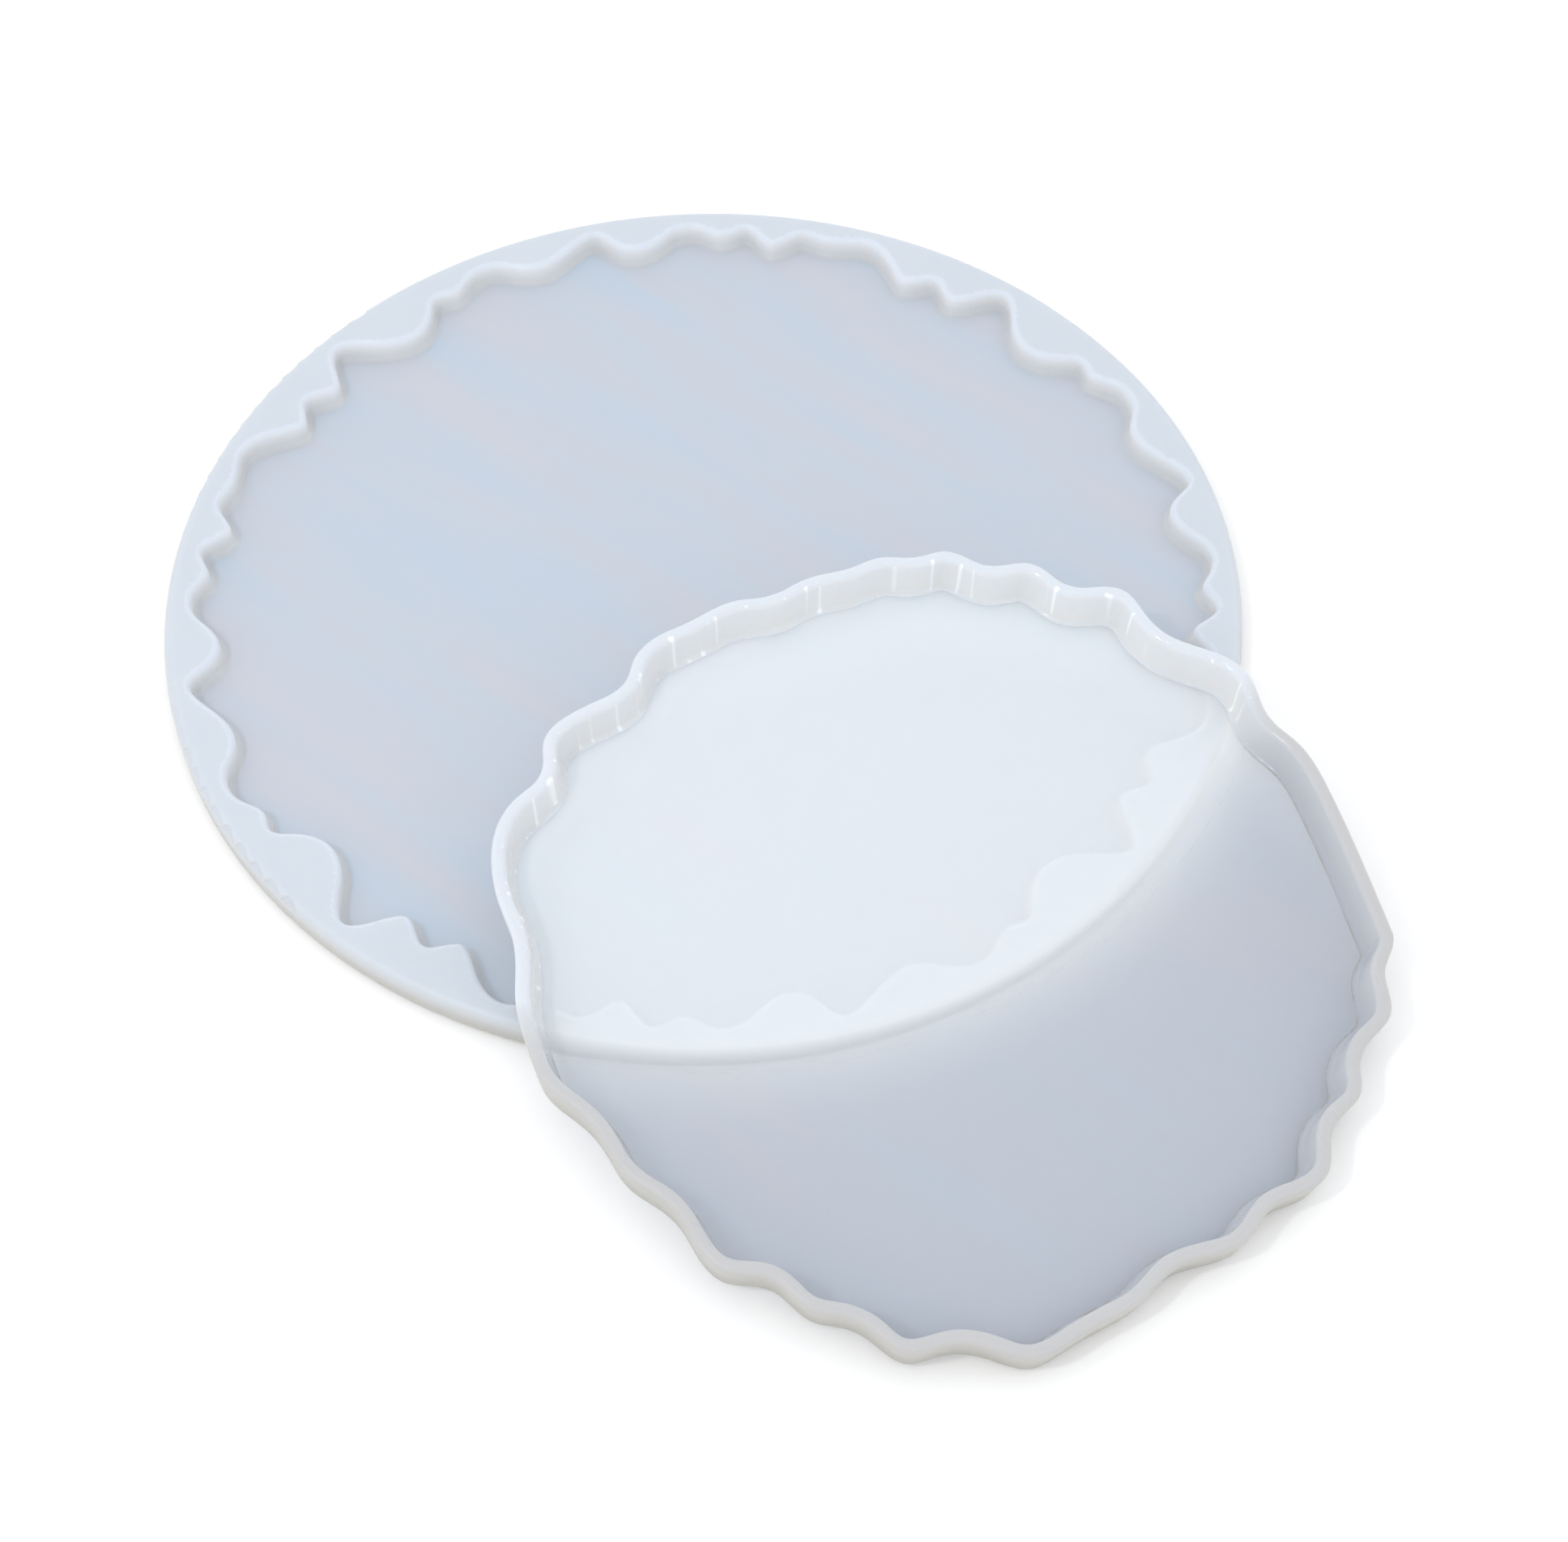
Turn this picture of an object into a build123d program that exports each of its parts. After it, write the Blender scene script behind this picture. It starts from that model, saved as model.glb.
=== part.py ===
from build123d import *
import math
import os

# A set of two one-piece silicone moulds for casting agate-style resin trays. The round mould lies flat on
# the table. The wavy mould leans on its rim, with its far edge down on the table.
# Millimetres. The origin is under the middle of the round mould, on the table. +Z is up.

# Round mould: a smooth round block of silicone with a shallow cavity that has a scalloped edge.
ROUND_RADIUS = 120.0
ROUND_HEIGHT = 6.6
ROUND_FLOOR = 1.3
ROUND_RIM_ROUNDING = 2.0
ROUND_FOOT_ROUNDING = 1.2
ROUND_LIP_ROUNDING = 1.6
ROUND_FLOOR_ROUNDING = 1.5

# One quarter of the scalloped edge: bearing in degrees, and width of the flat rim there.
# A small width is a notch, and a large one is the tip of a lobe that pushes into the cavity.
# The real edge repeats this quarter four times.
SCALLOPS = [
    (1.8, 6.0), (5.0, 6.6), (7.0, 9.8), (9.8, 12.1), (12.3, 10.4), (14.8, 4.9),
    (18.3, 7.7), (22.8, 11.3), (25.3, 10.2), (27.6, 6.9), (31.8, 6.6), (34.8, 9.4),
    (37.0, 8.3), (39.2, 12.0), (43.2, 15.7), (46.8, 13.0), (49.6, 7.2), (51.4, 5.0),
    (53.4, 7.8), (56.8, 13.7), (60.2, 10.0), (63.4, 13.8), (66.4, 9.8), (70.6, 5.0),
    (75.8, 6.9), (78.8, 6.1), (82.5, 10.8), (85.8, 5.8), (88.9, 8.4),
]
QUARTERS = 4
OUTLINE_RUNS = 12

# Wavy mould: a thin floor inside one thin wall that follows an irregular wavy outline. The soft wall
# spreads outwards as it rises, and WAVY_FLARE is how far its top stands out past its foot.
WAVY_HEIGHT = 10.0
WAVY_FLOOR = 1.3
WAVY_WALL = 3.0
WAVY_FLARE = 1.0
WAVY_CENTRE = (48.0, -96.0)
WAVY_LIP_ROUNDING = 1.2
WAVY_FOOT_ROUNDING = 1.6
WAVY_FLOOR_ROUNDING = 1.2
WALL_STATIONS = 120

# The outer outline of the wall's top: bearing in degrees, and distance from WAVY_CENTRE.
WAVES = [
    (0, 90.5), (6, 88.6), (14, 87.5), (22, 87.7), (30, 87.6), (35, 86.4), (38, 88.0), (43, 90.5),
    (48, 88.7), (55, 86.4), (59, 89.0), (62.5, 91.2), (66, 89.2), (69.5, 87.1), (75, 90.1),
    (81.5, 87.4), (87, 90.0), (92, 88.0), (96, 88.4), (101.5, 86.3), (107.5, 85.8), (114, 84.2),
    (118.5, 86.0), (126.5, 86.5), (131.5, 87.6), (136.5, 86.2), (140, 83.8), (144.5, 85.5),
    (149.5, 88.7), (153, 89.6), (158.5, 86.3), (162.5, 88.5), (167.5, 90.5), (171.5, 90.1),
    (175.5, 88.6), (179.5, 86.4), (182.5, 84.5), (187, 83.6), (193, 84.6), (200, 84.7), (206, 84.1),
    (210, 81.7), (215, 80.1), (222, 80.9), (229.5, 79.4), (235, 82.0), (240, 83.5), (246, 80.8),
    (252, 83.5), (255.5, 83.1), (260, 84.4), (264, 87.5), (268, 86.2), (271.5, 85.2), (275, 86.7),
    (279.5, 89.0), (285, 86.8), (290, 85.2), (296, 83.5), (299.5, 81.7), (305, 83.0), (311, 85.1),
    (316, 84.0), (320, 86.4), (324.5, 88.3), (331, 85.1), (336.5, 87.4), (341, 85.5), (349.5, 90.0),
    (353.5, 88.4),
]

# How the wavy mould leans on the round one: the bearing it leans towards, its angle, and the gap that
# keeps the two soft parts apart where it rests on the rounded top edge of the rim.
LEAN_BEARING = -63.0
LEAN_ANGLE = 5.3
REST_GAP = 0.3


def at_bearing(bearing, radius, height=0.0):
    angle = math.radians(bearing)
    return Vector(radius * math.cos(angle), radius * math.sin(angle), height)


def closed_curve(points):
    return Spline(points, periodic=True)


def in_runs(outline):
    """The outline cut into shorter runs of the same curve, so no side face is too long."""
    return Wire([outline.trim(run / OUTLINE_RUNS, (run + 1) / OUTLINE_RUNS) for run in range(OUTLINE_RUNS)])


def slab(outline, bottom, top):
    """A flat plate with upright sides."""
    return extrude(Pos(0, 0, bottom) * make_face(in_runs(outline)), amount=top - bottom)


def edges_at(part, height):
    return part.edges().filter_by_position(Axis.Z, height, height)


def cavity_lip(part):
    """The cavity's own top edge, which is the inner boundary of the flat top of the rim."""
    flat_top = part.faces().sort_by(Axis.Z)[-1]
    return flat_top.inner_wires()[0].edges()


def make_round_mould():
    block = Cylinder(ROUND_RADIUS, ROUND_HEIGHT, align=(Align.CENTER, Align.CENTER, Align.MIN))
    block = fillet(edges_at(block, ROUND_HEIGHT), ROUND_RIM_ROUNDING)
    block = fillet(edges_at(block, 0), ROUND_FOOT_ROUNDING)
    scallops = closed_curve([
        at_bearing(bearing + quarter * 360 / QUARTERS, ROUND_RADIUS - width)
        for quarter in range(QUARTERS)
        for bearing, width in SCALLOPS
    ])
    mould = block - slab(scallops, ROUND_FLOOR, ROUND_HEIGHT)
    mould = fillet(edges_at(mould, ROUND_FLOOR), ROUND_FLOOR_ROUNDING)
    return fillet(cavity_lip(mould), ROUND_LIP_ROUNDING)


def set_in(outline, distance):
    """The outline moved in by a distance, through evenly spaced points."""
    points = []
    for station in range(WALL_STATIONS):
        along = station / WALL_STATIONS
        tangent = outline.tangent_at(along)
        inward = Vector(-tangent.Y, tangent.X, 0)
        points.append(outline.position_at(along) + inward * distance)
    return closed_curve(points)


def flared_block(top_outline, bottom, top):
    """A block whose sides spread outwards as they rise, up to its top outline."""
    inset = WAVY_FLARE * (top - bottom) / WAVY_HEIGHT
    lower = Pos(0, 0, bottom) * in_runs(set_in(top_outline, inset))
    upper = Pos(0, 0, top) * in_runs(set_in(top_outline, 0))
    return Solid.make_loft([lower, upper], ruled=True)


def lean(part):
    """Tips the wavy mould towards LEAN_BEARING about the point where it rests on the round rim."""
    rest_radius = ROUND_RADIUS - ROUND_RIM_ROUNDING
    rest_point = at_bearing(LEAN_BEARING, rest_radius, ROUND_HEIGHT + REST_GAP)
    hinge_line = Axis(rest_point, at_bearing(LEAN_BEARING + 90, 1.0))
    raised = Pos(0, 0, ROUND_HEIGHT + REST_GAP) * part
    return raised.rotate(hinge_line, LEAN_ANGLE)


def make_wavy_mould():
    outline = closed_curve([at_bearing(bearing, radius) for bearing, radius in WAVES])
    shell = flared_block(outline, 0, WAVY_HEIGHT)
    shell = fillet(edges_at(shell, 0), WAVY_FOOT_ROUNDING)
    shell = fillet(edges_at(shell, WAVY_HEIGHT), WAVY_LIP_ROUNDING)
    shell = shell - flared_block(set_in(outline, WAVY_WALL), WAVY_FLOOR, WAVY_HEIGHT)
    shell = fillet(edges_at(shell, WAVY_FLOOR), WAVY_FLOOR_ROUNDING)
    shell = fillet(cavity_lip(shell), WAVY_LIP_ROUNDING)
    return lean(Pos(*WAVY_CENTRE, 0) * shell)


os.makedirs("parts", exist_ok=True)
export_step(make_round_mould(), "parts/round_tray_mould.step")
export_step(make_wavy_mould(), "parts/wavy_tray_mould.step")
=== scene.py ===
# %% [markdown]
# # Two silicone moulds for casting resin trays
# The object is a pair of soft, milky silicone moulds, the kind that agate-style trays are cast in.
# The large round one lies flat. The small wavy one leans on its rim, with its near edge on the table.
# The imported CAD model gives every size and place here, and this lesson only makes it look real.

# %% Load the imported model
import math

import bpy
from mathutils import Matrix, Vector


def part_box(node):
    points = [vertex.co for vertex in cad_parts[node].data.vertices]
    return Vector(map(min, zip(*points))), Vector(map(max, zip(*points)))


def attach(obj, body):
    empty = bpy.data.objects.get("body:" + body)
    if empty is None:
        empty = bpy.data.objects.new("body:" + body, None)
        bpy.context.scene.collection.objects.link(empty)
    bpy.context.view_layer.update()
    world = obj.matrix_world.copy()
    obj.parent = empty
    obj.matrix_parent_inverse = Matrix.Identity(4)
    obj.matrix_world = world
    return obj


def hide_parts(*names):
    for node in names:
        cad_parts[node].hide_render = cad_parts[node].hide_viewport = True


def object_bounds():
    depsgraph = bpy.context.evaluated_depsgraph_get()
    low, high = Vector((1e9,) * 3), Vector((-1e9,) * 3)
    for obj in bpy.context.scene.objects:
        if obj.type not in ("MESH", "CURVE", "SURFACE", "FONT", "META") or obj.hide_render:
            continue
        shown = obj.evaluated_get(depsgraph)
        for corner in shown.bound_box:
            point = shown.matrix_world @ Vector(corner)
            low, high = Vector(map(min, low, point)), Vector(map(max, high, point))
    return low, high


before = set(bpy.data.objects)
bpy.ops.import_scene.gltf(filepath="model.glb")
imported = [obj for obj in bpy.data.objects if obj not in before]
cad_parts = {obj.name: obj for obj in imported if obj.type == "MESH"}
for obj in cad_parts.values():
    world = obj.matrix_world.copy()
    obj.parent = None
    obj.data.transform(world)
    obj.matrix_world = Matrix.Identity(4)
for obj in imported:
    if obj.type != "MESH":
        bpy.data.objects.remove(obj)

MM = 0.001
scene = bpy.context.scene


def in_mm(lengths):
    """Lengths in metres as rounded millimetres, for printing."""
    return [round(length / MM, 1) for length in lengths]


cad_box = [list(corner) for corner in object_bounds()]
print("CAD box in mm:", [in_mm(corner) for corner in cad_box])

# %% [markdown]
# ## The camera
# A camera at about 55 degrees above the table looks down into both cavities at once. The lens is
# a short portrait one, so the near mould is a little larger than the far one but doesn't bulge.

# %% Place the camera
CAMERA_TARGET = Vector((17.8, -48.4, 0)) * MM
CAMERA_DISTANCE = 521.6 * MM
CAMERA_ELEVATION = math.radians(54.85)
LENS_LENGTH = 55.8
SENSOR_WIDTH = 36
NEAREST_SEEN = 10 * MM

camera_data = bpy.data.cameras.new("camera")
camera_data.lens = LENS_LENGTH
camera_data.sensor_width = SENSOR_WIDTH
camera_data.sensor_fit = "HORIZONTAL"
camera_data.clip_start = NEAREST_SEEN
camera = bpy.data.objects.new("camera", camera_data)
scene.collection.objects.link(camera)
back = Vector((0, -math.cos(CAMERA_ELEVATION), math.sin(CAMERA_ELEVATION)))
camera.location = CAMERA_TARGET + back * CAMERA_DISTANCE
camera.rotation_euler = (math.radians(90) - CAMERA_ELEVATION, 0, 0)
scene.camera = camera
print("camera at mm:", in_mm(camera.location))

# %% [markdown]
# ## Colours and shader nodes
# A colour is given as an sRGB hex value, but a shader works in linear light, so one function
# turns the first into the second. One more function adds a node and plugs it in, which keeps each
# material below short enough to read as a recipe.

# %% Helpers for colours and nodes
def srgb(hex_colour):
    """A colour picked as sRGB hex, such as "#dde6f2", as the linear colour that shaders use."""
    parts = [int(hex_colour[start:start + 2], 16) / 255 for start in (1, 3, 5)]
    linear = [part / 12.92 if part <= 0.04045 else ((part + 0.055) / 1.055) ** 2.4 for part in parts]
    return (*linear, 1.0)


def add_node(tree, kind, inputs=None, **settings):
    """Adds one shader node, sets its properties, and plugs or fills its inputs."""
    node = tree.nodes.new(kind)
    for name, value in settings.items():
        setattr(node, name, value)
    for socket, value in (inputs or {}).items():
        if isinstance(value, bpy.types.NodeSocket):
            tree.links.new(value, node.inputs[socket])
        else:
            node.inputs[socket].default_value = value
    return node


def new_material(name):
    """A material with one Principled shader, its tree and that shader."""
    material = bpy.data.materials.new(name)
    material.use_nodes = True
    tree = material.node_tree
    shader = next(node for node in tree.nodes if node.type == "BSDF_PRINCIPLED")
    return material, tree, shader


print("sRGB #bcbcbc is this much linear light:", round(srgb("#bcbcbc")[0], 2))

# %% [markdown]
# ## The table and the light
# Milky silicone has almost no colour of its own, so the light decides how it reads. A faintly blue
# sky all round and a wide soft ceiling light both moulds evenly, with no hard shadow. One small lamp
# at the front left adds tiny glints where the polished wall curves. The table is a matt white
# laminate, which this much light turns to a plain white. The standard view keeps whites clean.

# %% Pale matt table
TABLE_SIZE = 3000 * MM
TABLE_DROP = 0.3 * MM
WHITE_LAMINATE = "#fefcf9"  # a slightly warm white, which reads as plain white under a cool sky
LAMINATE_ROUGHNESS = 0.9
LAMINATE_SHINE = 0.1


def deselect_all():
    """Leaves edit mode and deselects everything, so the next tool works on its own object only."""
    if bpy.context.object and bpy.context.object.mode != "OBJECT":
        bpy.ops.object.mode_set(mode="OBJECT")
    bpy.ops.object.select_all(action="DESELECT")


deselect_all()
bpy.ops.mesh.primitive_plane_add(size=TABLE_SIZE, location=(0, 0, -TABLE_DROP))
table = bpy.context.object
table.name = "table"

laminate, tree, shader = new_material("matt_white_laminate")
shader.inputs["Base Color"].default_value = srgb(WHITE_LAMINATE)
shader.inputs["Roughness"].default_value = LAMINATE_ROUGHNESS
shader.inputs["Specular IOR Level"].default_value = LAMINATE_SHINE
table.data.materials.append(laminate)
print("table size and drop in mm:", in_mm((TABLE_SIZE, TABLE_DROP)))

# %% Sky, ceiling and lamp
SKY_WHITE = "#f1f5fb"  # faintly blue daylight, which cools the milky silicone
SKY_STRENGTH = 1.13
CEILING_WHITE = "#f8faff"  # nearly plain white, so level faces read a little cleaner than upright ones
CEILING_HEIGHT = 1.1
CEILING_SIZE = 2.6
CEILING_POWER = 4.0
LAMP_WHITE = "#ffffff"  # plain white, for clean glints
LAMP_BEARING = math.radians(-139)
LAMP_ELEVATION = math.radians(56)
LAMP_DISTANCE = 1.0
LAMP_SIZE = 0.05
LAMP_POWER = 1.1


def area_light(name, place, aim, size, power, colour):
    """A square soft light at a place, turned to shine at a point. Sizes in metres, power in watts."""
    data = bpy.data.lights.new(name, "AREA")
    data.size = size
    data.energy = power
    data.color = srgb(colour)[:3]
    light = bpy.data.objects.new(name, data)
    scene.collection.objects.link(light)
    light.location = place
    light.rotation_euler = (aim - place).to_track_quat("-Z", "Y").to_euler()


scene.view_settings.view_transform = "Standard"
world = bpy.data.worlds.new("studio")
world.use_nodes = True
sky = next(node for node in world.node_tree.nodes if node.type == "BACKGROUND")
sky.inputs["Color"].default_value = srgb(SKY_WHITE)
sky.inputs["Strength"].default_value = SKY_STRENGTH
scene.world = world

middle = (Vector(cad_box[0]) + Vector(cad_box[1])) / 2
above = middle + Vector((0, 0, CEILING_HEIGHT))
area_light("soft_ceiling", above, middle, CEILING_SIZE, CEILING_POWER, CEILING_WHITE)
lamp_way = Vector((
    math.cos(LAMP_BEARING) * math.cos(LAMP_ELEVATION),
    math.sin(LAMP_BEARING) * math.cos(LAMP_ELEVATION),
    math.sin(LAMP_ELEVATION),
))
lamp_place = middle + lamp_way * LAMP_DISTANCE
area_light("window_lamp", lamp_place, middle, LAMP_SIZE, LAMP_POWER, LAMP_WHITE)

# %% [markdown]
# ## The two moulds
# Each real mould is one casting: silicone is poured around a master and peeled off when it has set.
# So each visible mould is one piece too, copied from its CAD solid. The copy's loose triangles are
# merged first, so that smooth shading can run across them. The wavy mould leans, so its underside,
# floor and rim are measured along its own up direction.

# %% Copy and measure the moulds
MERGE_GAP = 0.001 * MM
LEVEL_ENOUGH = 0.9999
SMALLEST_SHARE = 0.1


def copied_mould(node, name):
    """A copy of a CAD node with its loose triangles merged, ready for its finishes."""
    deselect_all()
    mould = bpy.data.objects.new(name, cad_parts[node].data.copy())
    scene.collection.objects.link(mould)
    mould.data.materials.clear()
    mould.select_set(True)
    bpy.context.view_layer.objects.active = mould
    bpy.ops.object.mode_set(mode="EDIT")
    bpy.ops.mesh.customdata_custom_splitnormals_clear()
    bpy.ops.mesh.select_all(action="SELECT")
    bpy.ops.mesh.remove_doubles(threshold=MERGE_GAP)
    bpy.ops.object.mode_set(mode="OBJECT")
    return mould


def up_of(mesh):
    """The mould's own up direction: the normal of its largest face, turned upwards."""
    largest = max(mesh.polygons, key=lambda face: face.area)
    return largest.normal * (1 if largest.normal.z > 0 else -1)


def levels_of(mesh, up):
    """The heights along up of the mould's underside, cavity floor and rim."""
    areas = {}
    for face in mesh.polygons:
        if abs(face.normal.dot(up)) > LEVEL_ENOUGH:
            level = round(face.center.dot(up) / MM, 1)
            areas[level] = areas.get(level, 0) + face.area
    smallest = SMALLEST_SHARE * max(areas.values())
    underside, floor = sorted(level * MM for level, area in areas.items() if area > smallest)[:2]
    return underside, floor, max(vertex.co.dot(up) for vertex in mesh.vertices)


round_mould = copied_mould("round_tray_mould", "round_mould_silicone")
wavy_mould = copied_mould("wavy_tray_mould", "wavy_mould_silicone")
for mould in (round_mould, wavy_mould):
    levels = levels_of(mould.data, up_of(mould.data))
    print(mould.name, "has", len(mould.data.polygons), "faces; underside, floor, rim in mm:", in_mm(levels))

# %% [markdown]
# ## One silicone, three finishes
# Both moulds are cast from the same translucent platinum silicone. In the thick rim and walls light
# spreads inside it, so they look milky white. The thin floors look blue-grey. The wavy mould's
# cavity was cast against a polished master, so it is shiny, and everything else is satin. Where the
# wavy mould lies over the round one there are two layers, and light coming back from the lower one
# makes the whole of it look brighter. That brightness is a painted glow: it depends on the place
# alone, so one factor drives it, made from the distance to the round mould's middle. It is part of
# the wavy mould's colour, so it stays there when that mould is lifted.

# %% Shared facts of the silicone
SILICONE_IOR = 1.41
OUTSIDE_ROUGHNESS = 0.38
ROUND_CAVITY_ROUGHNESS = 0.35
WAVY_CAVITY_ROUGHNESS = 0.08
# The painted glow reaches this far past the round rim, then fades out over this width.
BRIGHT_PAST_RIM = 0.7 * MM
BRIGHTNESS_FADES_IN = 5.2 * MM

rim_low, rim_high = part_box("round_tray_mould")
round_radius = (rim_high.x - rim_low.x) / 2


def painted_glow_over_round_mould(tree, place):
    """The painted glow's mask: 1 where the round mould is below, fading to 0 over the table beside it."""
    plan = add_node(tree, "ShaderNodeVectorMath", {0: place, 1: (1, 1, 0)}, operation="MULTIPLY")
    distance = add_node(tree, "ShaderNodeVectorMath", {0: plan.outputs["Vector"]}, operation="LENGTH")
    bright_radius = round_radius + BRIGHT_PAST_RIM
    fade = add_node(tree, "ShaderNodeMapRange", {
        "Value": distance.outputs["Value"],
        "From Min": bright_radius, "From Max": bright_radius + BRIGHTNESS_FADES_IN,
        "To Min": 0.0, "To Max": -1.0}, clamp=False)
    glow = add_node(tree, "ShaderNodeMath", {0: fade.outputs["Result"]}, operation="EXPONENT")
    kept = add_node(tree, "ShaderNodeMath", {0: glow.outputs["Value"], 1: 1.0}, operation="MINIMUM")
    return kept.outputs["Value"]


def mixed(tree, factor, first, second):
    """Two colours blended by a factor. Each colour is a hex string or another node's output."""
    blend = add_node(tree, "ShaderNodeMix", {"Factor": factor}, data_type="RGBA")
    for socket, colour in (("A", first), ("B", second)):
        if isinstance(colour, str):
            blend.inputs[socket].default_value = srgb(colour)
        else:
            tree.links.new(colour, blend.inputs[socket])
    return blend.outputs["Result"]


print("two layers reach out to mm:", in_mm([round_radius]))

# %% [markdown]
# ## Thick milky silicone
# A rim or a wall isn't one flat colour. Its level top takes the cool sky, and its upright sides lie
# in shade, warmer and darker towards the table, and this light and shade is painted into the colour.
# So the material has four tones of painted shade, blended by which way the face looks and how high
# it sits. Faint clouds and a very shallow grain stop it looking like plastic, and the subsurface
# weight lets light spread inside. The tall wavy wall is polished, and light that bounces twice
# between its waves draws thin upright lines on it. A renderer rarely finds such light, so the lines
# are painted highlights in the colour, in narrow noise that doesn't change with height.

# %% Thick milky silicone
CLOUD_SIZE = 28 * MM
FAINTEST_CLOUD = 0.975
FINE_GRAIN = 0.7 * MM  # coarser than the real skin of the silicone, so that it can be seen at all
UPRIGHT_GRAIN = 2.0 * MM  # also drawn coarse
DRAWN_OUT_UPWARDS = (1, 1, 0.02)
GRAIN_DEPTH = 0.03 * MM
GLINT_WIDTH = 2.2 * MM
SAME_AT_ANY_HEIGHT = (1, 1, 0)
GLINT_STARTS, GLINT_FULL, GLINT_STRENGTH = 0.63, 0.72, 0.7
NOISE_LOW, NOISE_HIGH = 0.3, 0.7  # nearly all of a noise's values lie between these
GLINT_WHITE = "#ffffff"  # plain white, for the thin lines of light on the polished wall
MILKINESS = 0.5
LIGHT_SPREADS = 3 * MM
SPREAD_OF_RED_GREEN_BLUE = (1.0, 0.8, 0.6)


def share_risen(tree, place, up, foot, rise):
    """0 at the foot and 1 after the full rise, measured along the mould's own up direction."""
    height = add_node(tree, "ShaderNodeVectorMath", {0: place, 1: up}, operation="DOT_PRODUCT")
    return add_node(tree, "ShaderNodeMapRange", {
        "Value": height.outputs["Value"], "From Min": foot, "From Max": foot + rise,
    }, interpolation_type="SMOOTHSTEP").outputs["Result"]


def share_facing_up(tree, normal, up):
    """0 on an upright side and 1 on a face that looks straight up."""
    facing = add_node(tree, "ShaderNodeVectorMath", {0: normal, 1: up}, operation="DOT_PRODUCT")
    return add_node(tree, "ShaderNodeMapRange", {"Value": facing.outputs["Value"]}).outputs["Result"]


def painted_shade_tone(tree, facing_up, risen, tones):
    """The thick silicone's colour with painted shade, from which way a face looks and how high it sits."""
    level = mixed(tree, risen, tones["floor_edge"], tones["rim"])
    standing = mixed(tree, risen, tones["wall_foot"], tones["wall_top"])
    return mixed(tree, facing_up, standing, level)


def with_glints(tree, place, tone):
    """The tone with narrow upright lines of light on it."""
    upright = add_node(tree, "ShaderNodeMapping", {"Vector": place, "Scale": SAME_AT_ANY_HEIGHT})
    lines = add_node(tree, "ShaderNodeTexNoise", {
        "Vector": upright.outputs["Vector"], "Scale": 1 / GLINT_WIDTH, "Detail": 1.0})
    strength = add_node(tree, "ShaderNodeMapRange", {
        "Value": lines.outputs["Fac"],
        "From Min": GLINT_STARTS, "From Max": GLINT_FULL, "To Max": GLINT_STRENGTH})
    return mixed(tree, strength.outputs["Result"], tone, GLINT_WHITE)


def with_clouds(tree, place, tone):
    """The tone, very slightly darker here and there."""
    clouds = add_node(tree, "ShaderNodeTexNoise", {"Vector": place, "Scale": 1 / CLOUD_SIZE, "Detail": 2.0})
    strength = add_node(tree, "ShaderNodeMapRange", {
        "Value": clouds.outputs["Fac"], "From Min": NOISE_LOW, "From Max": NOISE_HIGH,
        "To Min": FAINTEST_CLOUD, "To Max": 1.0})
    milk = add_node(tree, "ShaderNodeVectorMath", {
        0: tone, "Scale": strength.outputs["Result"]}, operation="SCALE")
    return milk.outputs["Vector"]


def fine_grain(tree, place):
    """The even grain of the satin outside."""
    return add_node(tree, "ShaderNodeTexNoise", {"Vector": place, "Scale": 1 / FINE_GRAIN, "Detail": 3.0})


def upright_grain(tree, place):
    """The grain of the cavity wall, drawn out upwards by pulling the master out."""
    drawn_out = add_node(tree, "ShaderNodeMapping", {"Vector": place, "Scale": DRAWN_OUT_UPWARDS})
    return add_node(tree, "ShaderNodeTexNoise", {
        "Vector": drawn_out.outputs["Vector"], "Scale": 1 / UPRIGHT_GRAIN, "Detail": 2.0})


def milky_silicone(name, up, foot, rise, tones, roughness, grain, glints=False):
    """Silicone thick enough for light to scatter inside it.
    tones holds four colours of painted shade, and a second four of painted glow if part of the
    mould is over the round one."""
    material, tree, shader = new_material(name)
    coordinates = add_node(tree, "ShaderNodeTexCoord")
    place = coordinates.outputs["Object"]
    risen = share_risen(tree, place, up, foot, rise)
    facing_up = share_facing_up(tree, coordinates.outputs["Normal"], up)
    colour = painted_shade_tone(tree, facing_up, risen, tones[0])
    # A second set of tones is the painted glow over the round mould, with painted highlights on it.
    if len(tones) == 2:
        painted_glow_tone = painted_shade_tone(tree, facing_up, risen, tones[1])
        if glints:
            painted_glow_tone = with_glints(tree, place, painted_glow_tone)
        colour = mixed(tree, painted_glow_over_round_mould(tree, place), colour, painted_glow_tone)
    tree.links.new(with_clouds(tree, place, colour), shader.inputs["Base Color"])
    bump = add_node(tree, "ShaderNodeBump", {
        "Height": grain(tree, place).outputs["Fac"], "Distance": GRAIN_DEPTH})
    tree.links.new(bump.outputs["Normal"], shader.inputs["Normal"])
    shader.inputs["Roughness"].default_value = roughness
    shader.inputs["IOR"].default_value = SILICONE_IOR
    shader.inputs["Subsurface Weight"].default_value = MILKINESS
    shader.inputs["Subsurface Radius"].default_value = SPREAD_OF_RED_GREEN_BLUE
    shader.inputs["Subsurface Scale"].default_value = LIGHT_SPREADS
    return material


print("clouds, fine grain and upright grain in mm:", in_mm((CLOUD_SIZE, FINE_GRAIN, UPRIGHT_GRAIN)))
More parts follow.
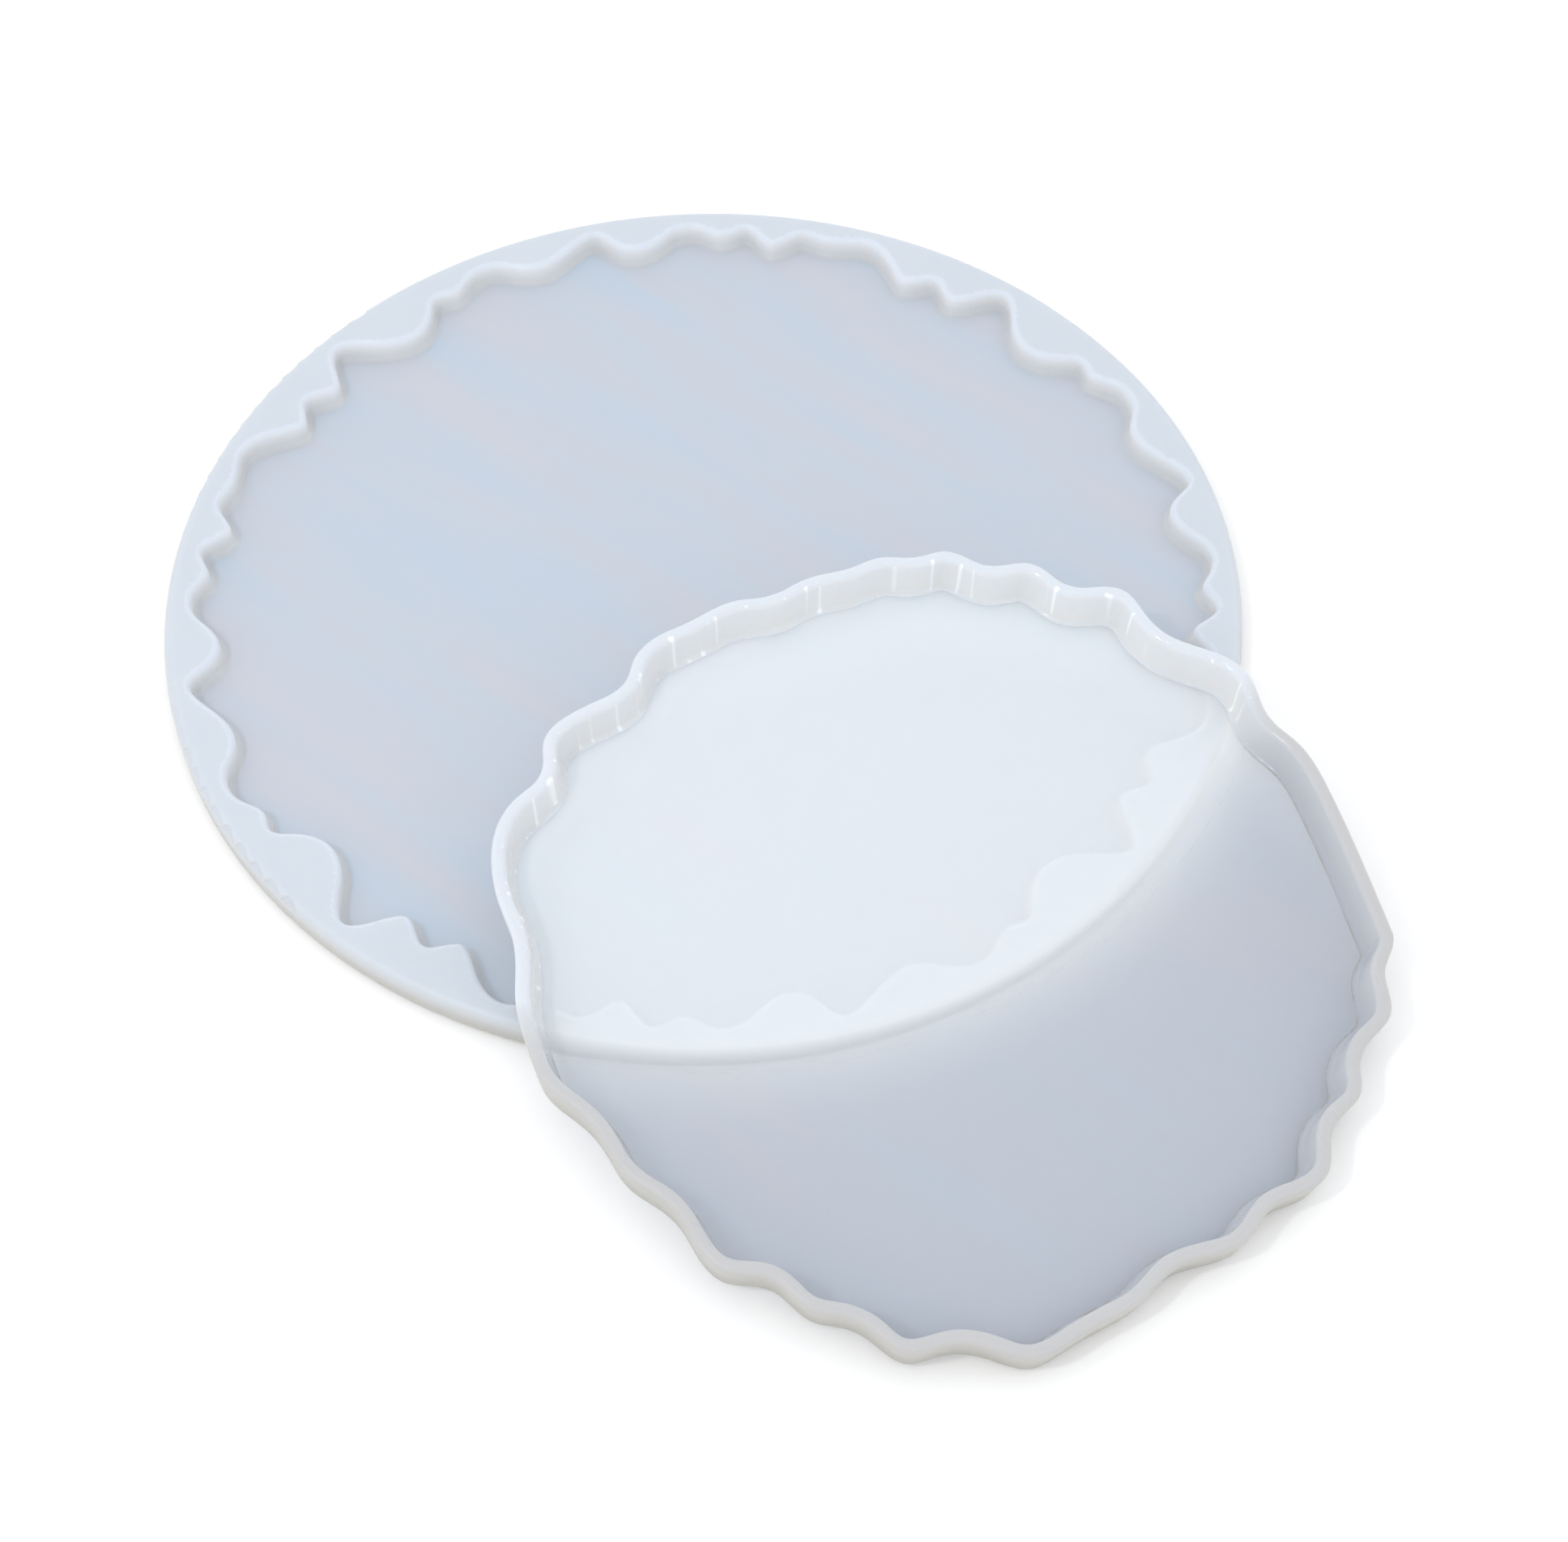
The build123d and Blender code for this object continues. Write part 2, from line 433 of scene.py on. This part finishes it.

# %% [markdown]
# ## Thin floors
# A floor is only 1.3 mm of silicone, so it is a cool blue-grey with faint long streaks, as left by
# slow pouring. The round mould's floor lies on the table and needs nothing more. The wavy mould's
# floor has to show the scalloped rim that it hangs over, so it is partly see-through. Over the table
# its tint is deepened as painted shade, and its second tint, over the round mould, is a nearly white
# painted glow for the light that comes back from the layer below.

# %% Thin floors
ROUND_FLOOR_BLUE = "#b7c1cb"  # cool blue-grey, the thin silicone's usual look
ROUND_FLOOR_GREY = "#c0c0c5"  # a hint of lilac in the slower streaks
WAVY_FLOOR_BLUE = "#a8b4c2"  # the same blue-grey, deepened as painted shade over the table
WAVY_FLOOR_GREY = "#afb3be"  # its lilac streaks
WAVY_FLOOR_PAINTED_GLOW = "#fdffff"  # nearly white, a painted glow where two layers lie together
WAVY_FLOOR_ALPHA = 0.34
STREAK_LENGTH = 90 * MM
STREAK_WIDTH = 14 * MM
STREAK_TURN = math.radians(38)


def streaked_tint(tree, place, first, second):
    """Faint long streaks of two near colours: a noise stretched along one bearing."""
    turned = add_node(tree, "ShaderNodeMapping", {"Vector": place, "Rotation": (0, 0, STREAK_TURN)})
    drawn_out = add_node(tree, "ShaderNodeVectorMath", {
        0: turned.outputs["Vector"], 1: (1 / STREAK_LENGTH, 1 / STREAK_WIDTH, 1 / STREAK_WIDTH),
    }, operation="MULTIPLY")
    noise = add_node(tree, "ShaderNodeTexNoise", {
        "Vector": drawn_out.outputs["Vector"], "Scale": 1.0, "Detail": 3.0})
    spread = add_node(tree, "ShaderNodeMapRange", {
        "Value": noise.outputs["Fac"], "From Min": NOISE_LOW, "From Max": NOISE_HIGH})
    return mixed(tree, spread.outputs["Result"], first, second)


def thin_round_floor():
    """The round mould's floor, satin and blue-grey."""
    material, tree, shader = new_material("thin_silicone_floor_round")
    place = add_node(tree, "ShaderNodeTexCoord").outputs["Object"]
    tint = streaked_tint(tree, place, ROUND_FLOOR_BLUE, ROUND_FLOOR_GREY)
    tree.links.new(tint, shader.inputs["Base Color"])
    shader.inputs["Roughness"].default_value = ROUND_CAVITY_ROUGHNESS
    shader.inputs["IOR"].default_value = SILICONE_IOR
    return material


def thin_wavy_floor():
    """The wavy mould's floor: see-through enough to show the round mould's rim beneath it."""
    material, tree, shader = new_material("thin_silicone_floor_wavy")
    place = add_node(tree, "ShaderNodeTexCoord").outputs["Object"]
    single = streaked_tint(tree, place, WAVY_FLOOR_BLUE, WAVY_FLOOR_GREY)
    # Painted shade over the table and painted glow over the round mould, mixed by the glow's mask.
    tint = mixed(tree, painted_glow_over_round_mould(tree, place), single, WAVY_FLOOR_PAINTED_GLOW)
    tree.links.new(tint, shader.inputs["Base Color"])
    shader.inputs["Alpha"].default_value = WAVY_FLOOR_ALPHA
    shader.inputs["Roughness"].default_value = WAVY_CAVITY_ROUGHNESS
    shader.inputs["IOR"].default_value = SILICONE_IOR
    return material


round_floor = thin_round_floor()
wavy_floor = thin_wavy_floor()
print("floors:", round_floor.name, "and", wavy_floor.name)

# %% [markdown]
# ## The tones, and which face gets which finish
# The round mould has one set of tones outside and one inside. The wavy mould has two of each: over
# the table it is painted greyer and warmer as shade, and over the round mould it is painted nearly
# white as a glow. Within each set the tones paint shade by which way a face looks and how high it
# sits. Every face of the cavity between floor and rim is wall, the flat floor and underside are thin
# floor, and the rest is the satin outside. Splitting by place, not by slope, keeps the rounded corners
# free of ragged lines.

# %% Give each face its finish
ROUND_OUTSIDE = {  # painted shade: cool white on the rim, warming to a soft grey at the table
    "rim": "#cfd5dc", "wall_top": "#cdd0d3", "wall_foot": "#b6b3ab", "floor_edge": "#b6b3ab"}
ROUND_WALL = {  # painted lighter, so the scallops stand out against the blue-grey floor; painted shade below
    "rim": "#cfd5dc", "wall_top": "#ecedee", "wall_foot": "#e2e1de", "floor_edge": "#c6c7c8"}
SHADED_TABLE_OUTSIDE = {  # painted shade: a warm grey, where one thin wall stands alone on the table
    "rim": "#bfbebd", "wall_top": "#bab7b1", "wall_foot": "#aaa69b", "floor_edge": "#aaa69b"}
SHADED_TABLE_WALL = {  # painted shade: a neutral grey, a little lighter than the floor beside it
    "rim": "#bfbebd", "wall_top": "#d3d5d7", "wall_foot": "#cdced1", "floor_edge": "#b6b9bf"}
GLOW_OVER_OUTSIDE = {  # painted glow: nearly white, from light that comes back from the layer below
    "rim": "#d4d8dc", "wall_top": "#dcdfe1", "wall_foot": "#dcdfe1", "floor_edge": "#dcdfe1"}
GLOW_OVER_WALL = {  # painted glow: the lightest of all, with a trace of warmth
    "rim": "#d4d8dc", "wall_top": "#e8e9ea", "wall_foot": "#ebebe9", "floor_edge": "#dcdedf"}
OUTSIDE_RISE = 9 * MM
LEVEL_SLACK = 0.05 * MM
FLAT_ENOUGH = 0.999
SMOOTH_UP_TO = math.radians(40)
OUTSIDE_SLOT, WALL_SLOT, FLOOR_SLOT = range(3)


def share_out_faces(mould, up, centre, levels):
    """Gives each face the slot of its finish, and returns how many faces each slot has."""
    underside, floor, rim = levels
    counts = [0, 0, 0]
    for face in mould.data.polygons:
        level = face.center.dot(up)
        outwards = face.center - centre
        outwards -= outwards.dot(up) * up
        at_floor_level = min(abs(level - floor), abs(level - underside)) < LEVEL_SLACK
        if abs(face.normal.dot(up)) > FLAT_ENOUGH and at_floor_level:
            face.material_index = FLOOR_SLOT
        elif face.normal.dot(outwards) < 0 and floor < level < rim - LEVEL_SLACK:
            face.material_index = WALL_SLOT
        counts[face.material_index] += 1
    return counts


def smooth(mould):
    """Smooth shading that leaves the broad flat faces flat."""
    deselect_all()
    mould.select_set(True)
    bpy.context.view_layer.objects.active = mould
    bpy.ops.object.shade_smooth_by_angle(angle=SMOOTH_UP_TO)
    weighted = mould.modifiers.new("flat_faces_stay_flat", "WEIGHTED_NORMAL")
    weighted.keep_sharp = True
    bpy.ops.object.modifier_apply(modifier=weighted.name)


def finish_mould(mould, node, body, floor_material, outside_tones, wall_tones, wall_roughness):
    """Gives a mould its three finishes, and puts it in the place of its CAD node."""
    up = up_of(mould.data)
    underside, floor, rim = levels_of(mould.data, up)
    outside = milky_silicone(
        node + "_satin_outside", up, underside, OUTSIDE_RISE, outside_tones, OUTSIDE_ROUGHNESS, fine_grain)
    wall = milky_silicone(
        node + "_polished_wall", up, floor, rim - floor, wall_tones, wall_roughness, upright_grain,
        glints=True)
    for material in (outside, wall, floor_material):
        mould.data.materials.append(material)
    low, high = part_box(node)
    counts = share_out_faces(mould, up, (low + high) / 2, (underside, floor, rim))
    smooth(mould)
    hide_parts(node)
    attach(mould, body)
    print(mould.name, "faces outside, on the wall and on the floor:", counts)


finish_mould(
    round_mould, "round_tray_mould", "round_mould", round_floor,
    [ROUND_OUTSIDE], [ROUND_WALL], ROUND_CAVITY_ROUGHNESS)
finish_mould(
    wavy_mould, "wavy_tray_mould", "wavy_mould", wavy_floor,
    [SHADED_TABLE_OUTSIDE, GLOW_OVER_OUTSIDE], [SHADED_TABLE_WALL, GLOW_OVER_WALL], WAVY_CAVITY_ROUGHNESS)
